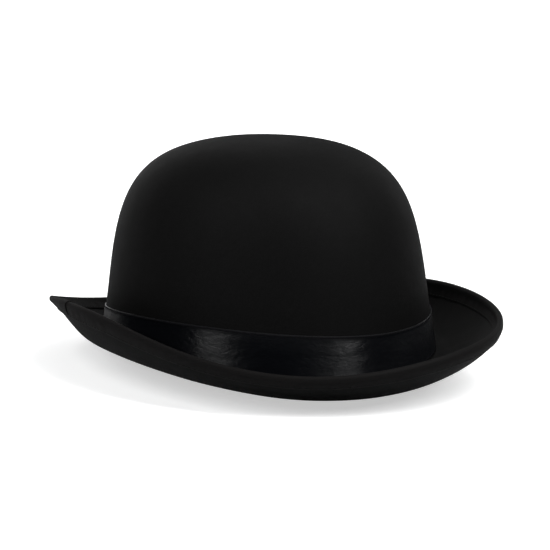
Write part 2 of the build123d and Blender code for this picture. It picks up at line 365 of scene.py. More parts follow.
brim_half_width = 108.0
brim_mean_reach = 149.7
brim_front_extra = 6.0
brim_corner_fullness = 0.04
side_curl_height = 31.7
front_curl_height = 18.0
back_curl_height = 11.2
corner_curl_dip = 2.3
curl_twist = 3.5
curl_left_rise = 0.8
curl_third_wave = 1.6
brim_dip_front = 6.6
brim_dip_side = 1.2
back_quarter_lean = 12.0
back_quarter_place = -0.6
back_quarter_spread = 0.3
board_thickness = 1.2
brim_thickness = 2 * cover_thickness + board_thickness
binding_thickness = 0.45
wire_diameter = 1.4
wire_seat = 1.25
brim_angles = 432
brim_rows = 40
brim_unevenness = 0.22
UP = Vector((0, 0, 1))


def brim_edge(t):
    """Topmost line of the rim."""
    c, s = cos(t), sin(t)
    corner = 4 * s * s * c * c
    end = (front_curl_height * (1 + c) + back_curl_height * (1 - c)) / 2
    z = end * c * c + side_curl_height * s * s - corner_curl_dip * corner
    z += curl_left_rise * s + curl_twist * sin(2 * t) + curl_third_wave * sin(3 * t)
    full = 1 + brim_corner_fullness * corner
    reach = brim_mean_reach + brim_front_extra * c
    return Vector((brim_half_width * s * full, -reach * c * full, z))


def brim_curve(t, depth):
    """Control points of the brim's profile, headline to rim, at a depth above its underside."""
    c, s = cos(t) ** 2, sin(t) ** 2
    root = at_wall(t, headline(t), 0)
    edge = brim_edge(t)
    flat = Vector((edge.x - root.x, edge.y - root.y, 0))
    reach, rise, out = flat.length, edge.z - root.z, flat.normalized()
    dip = brim_dip_side * s + brim_dip_front * c
    knee = root + out * (reach * (0.33 * s + 0.40 * c)) - UP * dip
    lean = back_quarter_lean * exp(-(((cos(t) - back_quarter_place) / back_quarter_spread) ** 2))
    shin = edge + out * (0.5 * s - 0.4 * c - lean) - UP * (rise * (0.43 * s + 0.34 * c))
    tip = (edge - shin).normalized()
    rim = edge - tip * (wire_seat + wire_diameter / 2 + 2 * binding_thickness)
    legs = [(knee - root).normalized(), (shin - knee).normalized(), tip]
    n1, n2, n3 = [UP * leg.dot(out) - out * leg.z for leg in legs]
    step = at_wall(t, headline(t) + depth, 0.1) - root
    first = root + out * step.dot(out) + UP * depth
    knee = knee + (n1 + n2) * (depth / (1 + n1.dot(n2)))
    shin = shin + (n2 + n3) * (depth / (1 + n2.dot(n3)))
    return [first, knee, shin, rim + n3 * depth]


def on_curve(curve, r):
    """Point at share r of a Bezier's parameter."""
    a, b, c, d = curve
    q = 1 - r
    return a * (q * q * q) + b * (3 * q * q * r) + c * (3 * q * r * r) + d * (r * r * r)


for name, low, high, node in (
    ("brim_under_cloth", 0.0, cover_thickness, "brim_under_cover"),
    ("brim_upper_cloth", brim_thickness - cover_thickness, brim_thickness, "brim_upper_cover"),
):
    rows = []
    for t in angles(brim_angles):
        under, over = brim_curve(t, low), brim_curve(t, high)
        lower, upper = [], []
        for j in range(brim_rows):
            r = j / (brim_rows - 1)
            p, q = on_curve(under, r), on_curve(over, r)
            calm = ease(r, 0.06, 0.3) * ease(1 - r, 0.14, 0.4)
            bulge = (q - p).normalized() * noise.noise(p / 30) * brim_unevenness * calm
            lower.append(p + bulge if low == 0 else p)
            upper.append(q if low == 0 else q + bulge)
        rows.append(lower + upper[::-1])
    piece = dress(cloth(name, rows), black_felt, "black_felt_cloth", node)

# ---------------------------------------------------------------------------------------
# Rim wire and its sleeve. A spring-steel wire runs in the fold of the binding and keeps the
# brim's line; its two ends meet in a short crimped steel tube near the back.

# Drawn steel wire: bright grey with fine lengthwise die marks, faintly oxidised.
for node, shade, dullness, size in (
    ("brim_wire", "#8f8d89", 0.34, 0.25),
    ("brim_wire_sleeve", "#a39f96", 0.42, 0.5),
):
    drawn_steel, tree = new_finish("drawn_steel_" + node)
    place = put(tree, "ShaderNodeTexCoord").outputs["Object"]
    marks = put(
        tree, "ShaderNodeTexNoise", {"Vector": place, "Scale": 1000 / size, "Detail": 3.0}
    )
    oxide = put(
        tree, "ShaderNodeTexNoise", {"Vector": place, "Scale": 1000 / 9.0, "Detail": 2.0}
    )
    tone = put(
        tree,
        "ShaderNodeMixRGB",
        {"Fac": oxide.outputs["Fac"], "Color1": linear(shade), "Color2": linear("#5b5752")},
    )
    dulled = put(
        tree,
        "ShaderNodeMapRange",
        {"Value": marks.outputs["Fac"], "To Min": dullness - 0.08, "To Max": dullness + 0.12},
    )
    relief = put(
        tree,
        "ShaderNodeBump",
        {"Height": marks.outputs["Fac"], "Strength": 0.25, "Distance": 0.05 * MM},
    )
    skin = put(
        tree,
        "ShaderNodeBsdfPrincipled",
        {
            "Base Color": tone.outputs["Color"],
            "Metallic": 1.0,
            "Roughness": dulled.outputs["Result"],
            "Normal": relief.outputs["Normal"],
        },
    )
    put(tree, "ShaderNodeOutputMaterial", {"Surface": skin.outputs["BSDF"]})
    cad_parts[node].material_slots[0].material = drawn_steel

# ---------------------------------------------------------------------------------------
# Edge binding and its lap. A bias strip of the same cloth folded over the rim and the wire,
# stitched through close to its two raw edges. The seam draws it into small puckers, and
# its ends overlap by about 12 mm towards the back.

binding_width = 5.8
stitch_inset = 4.7
edge_join_angle = radians(252.0)
lap_span = radians(5.5)
binding_angles = 1080
face_rows = 14
nose_rows = 9
pucker_depth = 0.26
pucker_length = 4.6
wander = 0.35
FIT = 0.05


def inset(curve, distance):
    """Share of a profile's parameter at a straight distance in from the rim."""
    low, high = 0.2, 1.0
    for _ in range(22):
        mid = (low + high) / 2
        if (on_curve(curve, mid) - curve[3]).length > distance:
            low = mid
        else:
            high = mid
    return (low + high) / 2


def ripple(t, side, length):
    """Unevenness along the rim, from -1 to 1, the same wherever the turn starts."""
    reach = 128.0 / length
    return noise.noise(Vector((cos(t) * reach, sin(t) * reach, 7.3 * side)))


def folded_strip(t, low_gap, high_gap, width, rough):
    """Section of the binding at an angle: its outside from under to over, then its inside."""
    section = []
    for gap, puckers in ((high_gap, rough), (low_gap, 0.0)):
        faces = []
        for depth, away in ((-gap, -1), (brim_thickness + gap, 1)):
            curve = brim_curve(t, depth)
            first = inset(curve, width + wander * rough * ripple(t, away + 3, 14.0))
            face = []
            for j in range(face_rows):
                r = first + (1 - first) * j / (face_rows - 1)
                inward = (on_curve(curve, r) - curve[3]).length / width
                seam = 1 - min(abs(inward - stitch_inset / width) / 0.5, 1)
                lift = pucker_depth * puckers * max(ripple(t, away, pucker_length), -0.3)
                lift *= 0.25 + 0.75 * (1 - seam) + 0.5 * ease(inward, 0.9, 1.0)
                lift *= ease(inward, 0.0, 0.25)
                normal = (curve[3] - curve[2]).normalized()
                sideways = Vector((-cos(t), -sin(t), 0))
                normal = normal.cross(sideways).normalized()
                if normal.dot(UP * away) < 0 and abs(normal.z) > 0.2:
                    normal = -normal
                face.append((on_curve(curve, r), normal, lift))
            faces.append((face, curve))
        (under, low_curve), (over, high_curve) = faces
        across = (high_curve[3] - low_curve[3]).normalized()
        tip = (low_curve[3] - low_curve[2]).normalized()
        line = [p - across * lift for p, _, lift in under]
        nose = []
        centre = (low_curve[3] + high_curve[3]) / 2 + tip * wire_seat
        half = (high_curve[3] - low_curve[3]).length / 2
        for k in range(nose_rows):
            turn = -pi / 2 + pi * k / (nose_rows - 1)
            nose.append(centre + tip * (cos(turn) * half) + across * (sin(turn) * half))
        line += nose
        line += [p + across * lift for p, _, lift in over][::-1]
        section.append(line)
    return section[0] + section[1][::-1]


rows = [
    folded_strip(t, FIT, FIT + binding_thickness, binding_width, 1.0)
    for t in angles(binding_angles)
]
binding = cloth("edge_binding", rows)

# Bias-cut felt cloth: the same pile as the crown's, but stretched over the fold, which
# rubs it and leaves it a shade greyer with a slightly smoother nap.
binding_felt, tree = new_finish("bias_cut_felt_binding")
place = put(tree, "ShaderNodeTexCoord").outputs["Object"]
pile = put(
    tree,
    "ShaderNodeTexNoise",
    {"Vector": place, "Scale": 1000 / 0.5, "Detail": 3.0, "Roughness": 0.6, "Distortion": 1.0},
)
rubbed = put(
    tree, "ShaderNodeTexNoise", {"Vector": place, "Scale": 1000 / 7.0, "Detail": 2.0}
)
clumps = put(
    tree,
    "ShaderNodeMixRGB",
    {"Fac": pile.outputs["Fac"], "Color1": linear("#080707"), "Color2": linear("#131212")},
)
shades = {"Color1": clumps.outputs["Color"], "Color2": linear("#0e0d0d")}
patches = put(tree, "ShaderNodeMixRGB", {"Fac": rubbed.outputs["Fac"], **shades})
relief = put(
    tree,
    "ShaderNodeBump",
    {"Height": pile.outputs["Fac"], "Strength": 0.5, "Distance": 0.14 * MM},
)
skin = put(
    tree,
    "ShaderNodeBsdfPrincipled",
    {
        "Base Color": patches.outputs["Color"],
        "Roughness": 0.7,
        "IOR": 1.5,
        "Specular IOR Level": 0.07,
        "Sheen Weight": 0.018,
        "Sheen Roughness": 0.25,
        "Sheen Tint": linear("#d8d4d2"),
        "Normal": relief.outputs["Normal"],
    },
)
put(tree, "ShaderNodeOutputMaterial", {"Surface": skin.outputs["BSDF"]})
dress(binding, binding_felt, "binding_cloth", "brim_binding")

low = 2 * FIT + binding_thickness
rows = [
    folded_strip(t, low, low + binding_thickness, stitch_inset - 0.8, 0.3)
    for t in angles(24, edge_join_angle, edge_join_angle + lap_span)
]
binding_lap = cloth("edge_binding_lap", rows, round_head=False)
dress(binding_lap, binding_felt, "binding_cloth", "brim_binding_lap")

# ---------------------------------------------------------------------------------------
# Binding stitches. A lockstitch of black spun polyester goes round each face of the
# binding, 3.2 mm a stitch; every stitch dives into the cloth at both of its ends.

stitch_length = 3.2
thread_diameter = 0.4
thread_sides = 7
thread_rings = 7
rim_length = 826.0
binding_stitch_share = 0.86


def stitches(name, middle, steps, length):
    """Short thread tubes along a line; middle(t, share) is a point of a stitch's own arc."""
    sides, rings = thread_sides, thread_rings
    points, faces = [], []
    for t in steps:
        arc = [middle(t + length * (k / (rings - 1) - 0.5), k / (rings - 1)) for k in range(rings)]
        start = len(points)
        for k, p in enumerate(arc):
            ahead = (arc[min(k + 1, rings - 1)] - arc[max(k - 1, 0)]).normalized()
            side = ahead.cross(UP if abs(ahead.z) < 0.9 else Vector((1, 0, 0))).normalized()
            over = side.cross(ahead)
            radius = thread_diameter / 2 * (0.55 if k in (0, rings - 1) else 1.0)
            for m in range(sides):
                turn = 2 * pi * m / sides
                q = p + side * (cos(turn) * radius) + over * (sin(turn) * radius)
                points.append(head_centre + q * MM)
        for k in range(rings - 1):
            for m in range(sides):
                a, b = start + k * sides, start + (k + 1) * sides
                n = (m + 1) % sides
                faces.append((a + m, a + n, b + n, b + m))
        faces.append([start + m for m in range(sides)][::-1])
        faces.append([start + (rings - 1) * sides + m for m in range(sides)])
    mesh = bpy.data.meshes.new(name)
    mesh.from_pydata(points, [], faces)
    mesh.polygons.foreach_set("use_smooth", [True] * len(faces))
    piece = bpy.data.objects.new(name, mesh)
    bpy.context.scene.collection.objects.link(piece)
    return piece


# Spun polyester thread: black, slightly shinier than the felt, with a twist of two plies.
black_thread, tree = new_finish("spun_polyester_thread")
place = put(tree, "ShaderNodeTexCoord").outputs["Object"]
ply = put(
    tree, "ShaderNodeTexNoise", {"Vector": place, "Scale": 1000 / 0.35, "Detail": 2.0}
)
tone = put(
    tree,
    "ShaderNodeMixRGB",
    {"Fac": ply.outputs["Fac"], "Color1": linear("#070707"), "Color2": linear("#151516")},
)
relief = put(
    tree, "ShaderNodeBump", {"Height": ply.outputs["Fac"], "Strength": 0.5, "Distance": 0.1 * MM}
)
skin = put(
    tree,
    "ShaderNodeBsdfPrincipled",
    {
        "Base Color": tone.outputs["Color"],
        "Roughness": 0.7,
        "IOR": 1.5,
        "Specular IOR Level": 0.15,
        "Sheen Weight": 0.01,
        "Normal": relief.outputs["Normal"],
    },
)
put(tree, "ShaderNodeOutputMaterial", {"Surface": skin.outputs["BSDF"]})

stitch_turn = 2 * pi * stitch_length / rim_length
stitch_steps = [k * stitch_turn for k in range(int(2 * pi / stitch_turn))]
for name, over, node in (
    ("binding_stitches_upper", True, "binding_thread_upper"),
    ("binding_stitches_under", False, "binding_thread_under"),
):

    def seam_line(t, share):
        lift = FIT + binding_thickness + 0.08 - 0.4 * (2 * share - 1) ** 4
        curve = brim_curve(t, brim_thickness + lift if over else -lift)
        return on_curve(curve, inset(curve, stitch_inset))

    piece = stitches(name, seam_line, stitch_steps, stitch_turn * binding_stitch_share)
    dress(piece, black_thread, "black_thread", node)

# ---------------------------------------------------------------------------------------
# Hat band. A black satin ribbon one inch wide, drawn round the foot of the crown, with a
# woven selvedge along both edges. The crown leans in, so the ribbon ripples a little; its
# ends overlap on the wearer's left and are tacked down.

ribbon_angles = 900
ribbon_rows = 30
selvedge_rows = 4
band_thickness = 0.6
selvedge_width = 1.2
selvedge_thickness = 0.85
ripple_height = 0.2
lap_angle = radians(100.0)
lap_width = 16.0
tack_count = 5
tack_length = 2.2


def ribbon_section(t, gap, thick, edge_thick, loose):
    """Section of the ribbon: outside from foot to top, then the inside back down."""
    low = headline(t) + brim_thickness + 0.5
    high = band_top(t)
    outer, inner = [], []
    for j in range(ribbon_rows):
        share = 0.5 - 0.5 * cos(pi * j / (ribbon_rows - 1))
        z = low + (high - low) * share
        edge = min(z - low, high - z)
        body = ease(edge, selvedge_width - 0.15, selvedge_width + 0.25)
        proud = edge_thick + (thick - edge_thick) * body - 0.25 * (1 - ease(edge, 0, 0.3))
        p = Vector((cos(t) * 1.5, sin(t) * 1.5, z / 6.5))
        q = Vector((cos(t) * 7.0, sin(t) * 7.0, z / 4.2 + 9))
        wave = (noise.noise(p) + 0.5 * noise.noise(q)) * ripple_height * body * loose
        outer.append(at_wall(t, z, gap + proud + wave))
        inner.append(at_wall(t, z, gap))
    return outer + inner[::-1]


rows = [
    ribbon_section(t, FIT, band_thickness, selvedge_thickness, 1.0)
    for t in angles(ribbon_angles)
]
hat_band = cloth("satin_hat_band", rows, hem=selvedge_rows)

# Polyester satin: long warp floats lie side by side along the ribbon, so a light draws out
# into a streak across it. The floats are 0.12 mm apart, drawn here at 0.4 mm to show.
satin, tree = new_finish("black_polyester_satin")
flat = put(tree, "ShaderNodeUVMap", uv_map="cloth").outputs["UV"]
floats = put(
    tree,
    "ShaderNodeMapping",
    {"Vector": flat, "Scale": (1000 / 6.0, 1000 / 0.4, 1.0)},
)
warp = put(
    tree, "ShaderNodeTexNoise", {"Vector": floats.outputs["Vector"], "Scale": 1.0, "Detail": 2.0}
)
place = put(tree, "ShaderNodeTexCoord").outputs["Object"]
cloud = put(
    tree, "ShaderNodeTexNoise", {"Vector": place, "Scale": 1000 / 16.0, "Detail": 2.0}
)
tone = put(
    tree,
    "ShaderNodeMixRGB",
    {"Fac": warp.outputs["Fac"], "Color1": linear("#040507"), "Color2": linear("#0b0c0f")},
)
creased = put(
    tree, "ShaderNodeMapping", {"Vector": flat, "Scale": (1000 / 5.0, 1000 / 2.4, 1.0)}
)
creases = put(
    tree,
    "ShaderNodeTexNoise",
    {"Vector": creased.outputs["Vector"], "Scale": 1.0, "Detail": 2.0, "Distortion": 0.6},
)
pulled = put(
    tree,
    "ShaderNodeBump",
    {"Height": creases.outputs["Fac"], "Strength": 1.0, "Distance": 0.22 * MM},
)
relief = put(
    tree,
    "ShaderNodeBump",
    {
        "Height": warp.outputs["Fac"],
        "Strength": 0.25,
        "Distance": 0.05 * MM,
        "Normal": pulled.outputs["Normal"],
    },
)
dulled = put(
    tree, "ShaderNodeMapRange", {"Value": cloud.outputs["Fac"], "To Min": 0.26, "To Max": 0.36}
)
grain = put(tree, "ShaderNodeTangent", direction_type="UV_MAP", uv_map="cloth")
skin = put(
    tree,
    "ShaderNodeBsdfPrincipled",
    {
        "Base Color": tone.outputs["Color"],
        "Roughness": dulled.outputs["Result"],
        "IOR": 1.5,
        "Specular IOR Level": 0.17,
        "Anisotropic": 0.95,
        "Anisotropic Rotation": 0.25,
        "Tangent": grain.outputs["Tangent"],
        "Normal": relief.outputs["Normal"],
    },
)
put(tree, "ShaderNodeOutputMaterial", {"Surface": skin.outputs["BSDF"]})
dress(hat_band, satin, "black_satin", "hat_band")

# Selvedge: the weft turns back here in a plain weave, so it is duller than the satin and
# shows a row of tiny loops, 0.7 mm apart. A wave texture repeats every pi / 10 of its unit.
plain_weave, tree = new_finish("plain_woven_selvedge")
flat = put(tree, "ShaderNodeUVMap", uv_map="cloth").outputs["UV"]
loops = put(
    tree,
    "ShaderNodeTexWave",
    {"Vector": flat, "Scale": 1000 / 0.7 * pi / 10, "Distortion": 1.5, "Detail": 1.0},
    bands_direction="X",
)
tone = put(
    tree,
    "ShaderNodeMixRGB",
    {"Fac": loops.outputs["Fac"], "Color1": linear("#040405"), "Color2": linear("#0e0e11")},
)
relief = put(
    tree,
    "ShaderNodeBump",
    {"Height": loops.outputs["Fac"], "Strength": 0.6, "Distance": 0.12 * MM},
)
skin = put(
    tree,
    "ShaderNodeBsdfPrincipled",
    {
        "Base Color": tone.outputs["Color"],
        "Roughness": 0.6,
        "IOR": 1.5,
        "Specular IOR Level": 0.08,
        "Normal": relief.outputs["Normal"],
    },
)
put(tree, "ShaderNodeOutputMaterial", {"Surface": skin.outputs["BSDF"]})
hat_band.data.materials.append(plain_weave)

half_lap = lap_width / 2 / (crown_half_length * crown_width_ratio)
rows = [
    ribbon_section(t, 2 * FIT + selvedge_thickness, band_thickness, band_thickness + 0.1, 0.4)
    for t in angles(24, lap_angle - half_lap, lap_angle + half_lap)
]
band_lap = cloth("satin_hat_band_lap", rows, round_head=False)
dress(band_lap, satin, "black_satin", "hat_band_lap")

tack_angle = lap_angle + half_lap - 0.02


def tack(z, share):
    return at_wall(tack_angle, z, 2 * FIT + selvedge_thickness + 0.85 - (2 * share - 1) ** 4 * 0.4)


foot = headline(tack_angle) + brim_thickness + 2.6
pitch = (band_top(tack_angle) - foot - 2.1) / (tack_count - 1)
tack_heights = [foot + k * pitch for k in range(tack_count)]
tacks = stitches("hat_band_tack_stitches", tack, tack_heights, tack_length)
dress(tacks, black_thread, "black_thread", "hat_band_tacks")

# ---------------------------------------------------------------------------------------
# Lining. A side band and a round tip of thin black satin, seamed together at 78 mm and hung
# inside the crown. The band is cut long, so it lies in slight upright folds.

lining_thickness = 0.4
lining_split = 78.0
fold_depth = 0.55
fold_width = 17.0
lining_angles = 432
lining_rows = 26
lining_stitch = 3.0
lining_seam_radius = 82.0
stitch_share = 0.84

rows = []
for t in angles(lining_angles):
    low, high = headline(t) + 3.0, lining_split - 0.2
    outer, inner = [], []
    for j in range(lining_rows):
        z = low + (high - low) * j / (lining_rows - 1)
        reach = 90.0 / fold_width
        fold = noise.noise(Vector((cos(t) * reach, sin(t) * reach, z / 70)))
        fold = max(0.0, 0.35 + fold) * fold_depth * ease(z, 40, 46) * ease(high - z, 0, 6)
        outer.append(at_wall(t, z, -lining_gap - fold))
        inner.append(at_wall(t, z, -lining_gap - lining_thickness - fold))
    rows.append(outer + inner[::-1])
lining_band = cloth("lining_side_cloth", rows)

# Acetate lining satin: thinner and duller than the ribbon, with a soft broad shine and
# faint upright threads; those are 0.1 mm apart, drawn here at 0.45 mm to show.
lining_satin, tree = new_finish("black_acetate_lining")
flat = put(tree, "ShaderNodeUVMap", uv_map="cloth").outputs["UV"]
threads = put(
    tree, "ShaderNodeMapping", {"Vector": flat, "Scale": (1000 / 0.45, 1000 / 5.0, 1.0)}
)
warp = put(
    tree, "ShaderNodeTexNoise", {"Vector": threads.outputs["Vector"], "Scale": 1.0, "Detail": 2.0}
)
# A black lining, but painted lighter than the outer cloth as painted light, so that it shows in
# the hat's shaded inside.
tone = put(
    tree,
    "ShaderNodeMixRGB",
    {"Fac": warp.outputs["Fac"], "Color1": linear("#17171a"), "Color2": linear("#2b2b31")},
)
relief = put(
    tree,
    "ShaderNodeBump",
    {"Height": warp.outputs["Fac"], "Strength": 0.3, "Distance": 0.06 * MM},
)
grain = put(tree, "ShaderNodeTangent", direction_type="UV_MAP", uv_map="cloth")
skin = put(
    tree,
    "ShaderNodeBsdfPrincipled",
    {
        "Base Color": tone.outputs["Color"],
        "Roughness": 0.5,
        "IOR": 1.5,
        "Specular IOR Level": 0.5,
        "Anisotropic": 0.5,
        "Anisotropic Rotation": 0.25,
        "Tangent": grain.outputs["Tangent"],
        "Sheen Weight": 0.05,
        "Normal": relief.outputs["Normal"],
    },
)
put(tree, "ShaderNodeOutputMaterial", {"Surface": skin.outputs["BSDF"]})
dress(lining_band, lining_satin, "lining_satin", "lining_side_band")

rows = []
for t in angles(lining_angles):
    outer, inner = [], []
    profile = dome_profile(lining_split, lining_gap, 40)
    thin = dome_profile(lining_split, lining_gap + lining_thickness, 40)
    for (r, z), (rr, zz) in zip(profile, thin):
        p = round_crown(t, r, z)
        q = round_crown(t, rr, zz)
        sag = max(0.0, 0.25 + noise.noise(p / 24)) * 0.5 * ease(z, lining_split, lining_split + 8)
        outer.append(p * (1 - sag / 100))
        inner.append(q * (1 - sag / 100))
    rows.append(outer + inner[::-1])
lining_tip = cloth("lining_tip_cloth", rows)
dress(lining_tip, lining_satin, "lining_satin", "lining_tip")

lining_thread, tree = new_finish("fine_lining_thread")
place = put(tree, "ShaderNodeTexCoord").outputs["Object"]
ply = put(
    tree, "ShaderNodeTexNoise", {"Vector": place, "Scale": 1000 / 0.4, "Detail": 2.0}
)
tone = put(
    tree,
    "ShaderNodeMixRGB",
    {"Fac": ply.outputs["Fac"], "Color1": linear("#121214"), "Color2": linear("#2c2c30")},
)
skin = put(
    tree,
    "ShaderNodeBsdfPrincipled",
    {"Base Color": tone.outputs["Color"], "Roughness": 0.45, "IOR": 1.5, "Sheen Weight": 0.06},
)
put(tree, "ShaderNodeOutputMaterial", {"Surface": skin.outputs["BSDF"]})


def lining_seam(t, share):
    inside = lining_gap + lining_thickness + 0.4 - 0.35 * (2 * share - 1) ** 4
    return at_wall(t, lining_split, -inside)


turn = lining_stitch / lining_seam_radius
steps = [k * turn for k in range(int(2 * pi / turn))]
seam = stitches("lining_seam_stitches", lining_seam, steps, turn * stitch_share)
dress(seam, lining_thread, "lining_thread", "lining_seam_thread")

# ---------------------------------------------------------------------------------------
# Sweatband. A strip of leathercloth turned up inside the head opening, rolled at its foot
# round a plastic reed and sewn to the headline there. It is open at the back seam.

sweatband_height = 38.0
sweatband_thickness = 0.9
reed_diameter = 1.7
reed_lift = 0.6
sweat_rows = 20
roll_rows = 13
head_stitch = 4.0
head_seam_radius = 95.0
sweat_gap = lining_gap + lining_thickness + 2 * FIT
sweat_far = sweat_gap + 2 * sweatband_thickness + reed_diameter + 2 * FIT


def reed_height(t):
    """Height of the middle of the roll round the reed."""
    return headline(t) + sweat_far / 2 - sweat_gap / 2 + reed_lift


rows = []
for t in angles(500, radians(180.6), radians(539.4)):
    base = reed_height(t)
    outer, inner = [], []
    for gap_near, gap_far, line in (
        (sweat_gap, sweat_far, outer),
        (sweat_gap + sweatband_thickness, sweat_far - sweatband_thickness, inner),
    ):
        for j in range(sweat_rows):
            z = sweatband_height + (base - sweatband_height) * j / sweat_rows
            wave = noise.noise(Vector((cos(t) * 3, sin(t) * 3, z / 20))) * 0.35
            line.append(at_wall(t, z, -gap_near - max(0.0, wave) * ease(z, 16, 36)))
        half = (gap_far - gap_near) / 2
        for j in range(roll_rows):
            turn = pi * j / (roll_rows - 1)
            middle = (gap_near + gap_far) / 2
            line.append(at_wall(t, base - sin(turn) * half, -middle + cos(turn) * half))
        line.append(at_wall(t, base + 1.6, -gap_far))
        line.append(at_wall(t, base + 3.0, -gap_far))
    rows.append(outer + inner[::-1])
sweatband = cloth("sweatband_strip", rows, round_head=False)

# Coated leathercloth: black, semi-matt, embossed with a calf grain of 1.1 mm pebbles that
# catch small soft glints; handling has polished it unevenly.
leathercloth, tree = new_finish("embossed_black_leathercloth")
place = put(tree, "ShaderNodeTexCoord").outputs["Object"]
pebble = put(
    tree,
    "ShaderNodeTexVoronoi",
    {"Vector": place, "Scale": 1000 / 1.1},
    feature="DISTANCE_TO_EDGE",
)
creased = put(
    tree, "ShaderNodeMapRange", {"Value": pebble.outputs["Distance"], "From Max": 0.14}
)
worn = put(tree, "ShaderNodeTexNoise", {"Vector": place, "Scale": 1000 / 13.0, "Detail": 3.0})
# A black leathercloth, but painted lighter than the outer cloth as painted light, so that it shows
# in the hat's shaded inside.
tone = put(
    tree,
    "ShaderNodeMixRGB",
    {"Fac": worn.outputs["Fac"], "Color1": linear("#1c1918"), "Color2": linear("#2f2b29")},
)
dulled = put(
    tree, "ShaderNodeMapRange", {"Value": worn.outputs["Fac"], "To Min": 0.38, "To Max": 0.6}
)
relief = put(
    tree,
    "ShaderNodeBump",
    {"Height": creased.outputs["Result"], "Strength": 0.6, "Distance": 0.12 * MM},
)
skin = put(
    tree,
    "ShaderNodeBsdfPrincipled",
    {
        "Base Color": tone.outputs["Color"],
        "Roughness": dulled.outputs["Result"],
        "IOR": 1.5,
        "Specular IOR Level": 0.45,
        "Normal": relief.outputs["Normal"],
    },
)
put(tree, "ShaderNodeOutputMaterial", {"Surface": skin.outputs["BSDF"]})
dress(sweatband, leathercloth, "sweatband_leather", "sweatband")

# Extruded PVC reed: smooth, milky black, with faint draw lines.
reed_plastic, tree = new_finish("extruded_pvc_reed")
place = put(tree, "ShaderNodeTexCoord").outputs["Object"]
drawn = put(tree, "ShaderNodeTexNoise", {"Vector": place, "Scale": 1000 / 4.0, "Detail": 2.0})
tone = put(
    tree,
    "ShaderNodeMixRGB",
    {"Fac": drawn.outputs["Fac"], "Color1": linear("#161617"), "Color2": linear("#2b2b2d")},
)
dulled = put(
    tree, "ShaderNodeMapRange", {"Value": drawn.outputs["Fac"], "To Min": 0.28, "To Max": 0.42}
)
skin = put(
    tree,
    "ShaderNodeBsdfPrincipled",
    {"Base Color": tone.outputs["Color"], "Roughness": dulled.outputs["Result"], "IOR": 1.53},
)
put(tree, "ShaderNodeOutputMaterial", {"Surface": skin.outputs["BSDF"]})
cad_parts["sweatband_reed"].material_slots[0].material = reed_plastic


def reed_seam(t, share):
    inside = sweat_far + 0.16 - 0.35 * (2 * share - 1) ** 4
    return at_wall(t, reed_height(t) + 1.7, -inside)


# Known fault: turn still holds pi from the sweatband's roll, so this makes one long stitch
# round the back instead of a row of small ones.
steps = [radians(181.2) + k * turn for k in range(int(radians(357.0) / turn))]
reed_stitches = stitches("sweatband_reed_stitches", reed_seam, steps, turn * stitch_share)
dress(reed_stitches, black_thread, "black_thread")


def head_seam(t, share):
    drop = thread_diameter / 2 + 0.05 - 0.2 * (2 * share - 1) ** 4
    return at_wall(t, headline(t) - drop, -cover_thickness - body_thickness / 2)


turn = head_stitch / head_seam_radius
steps = [k * turn for k in range(int(2 * pi / turn))]
head_stitches = stitches("headline_stitches", head_seam, steps, turn * stitch_share)
dress(head_stitches, black_thread, "black_thread", "headline_thread")

# ---------------------------------------------------------------------------------------
# Size label and bow. A plain woven tape label is sewn to the sweatband beside the back seam
# and left blank; a narrow tape bow covers the seam itself.

label_low, label_high = 13.0, 31.0
label_thickness = 0.3
label_rows = 24
label_gap = sweat_gap + sweatband_thickness + FIT
rows = []
for t in angles(30, radians(190), radians(206)):
    outer, inner = [], []
    for j in range(label_rows):
        z = label_low + (label_high - label_low) * j / (label_rows - 1)
        edge = min(z - label_low, label_high - z)
        curl = 0.25 * (1 - ease(edge, 0, 2.0))
        inner.append(at_wall(t, z, -label_gap - curl))
        outer.append(at_wall(t, z, -label_gap - label_thickness - curl))
    rows.append(outer + inner[::-1])
label = cloth("blank_size_label", rows, round_head=False)

# Woven nylon tape: off-white, with a plain weave of 0.5 mm threads and a soft sheen.
label_tape, tree = new_finish("woven_nylon_label_tape")
flat = put(tree, "ShaderNodeUVMap", uv_map="cloth").outputs["UV"]
across = put(
    tree,
    "ShaderNodeTexWave",
    {"Vector": flat, "Scale": 1000 / 0.5 * pi / 10, "Distortion": 0.6, "Detail": 1.0},
    bands_direction="X",
)
along = put(
    tree,
    "ShaderNodeTexWave",
    {"Vector": flat, "Scale": 1000 / 0.5 * pi / 10, "Distortion": 0.6, "Detail": 1.0},
    bands_direction="Y",
)
weave = put(
    tree,
    "ShaderNodeMath",
    {0: across.outputs["Fac"], 1: along.outputs["Fac"]},
    operation="MULTIPLY",
)
tone = put(
    tree,
    "ShaderNodeMixRGB",
    {"Fac": weave.outputs["Value"], "Color1": linear("#a9a49b"), "Color2": linear("#d9d5cc")},
)
relief = put(
    tree,
    "ShaderNodeBump",
    {"Height": weave.outputs["Value"], "Strength": 0.5, "Distance": 0.08 * MM},
)
skin = put(
    tree,
    "ShaderNodeBsdfPrincipled",
    {
        "Base Color": tone.outputs["Color"],
        "Roughness": 0.62,
        "IOR": 1.5,
        "Sheen Weight": 0.15,
        "Normal": relief.outputs["Normal"],
    },
)
put(tree, "ShaderNodeOutputMaterial", {"Surface": skin.outputs["BSDF"]})
dress(label, label_tape, "label_tape", "size_label")

bow_gap = sweat_gap + 2 * sweatband_thickness + reed_diameter + 0.2 + 2.2
bow_middle = at_wall(pi, headline(pi) + 9.0, -bow_gap)
tape_half = 2.5
tape_thick = 0.5


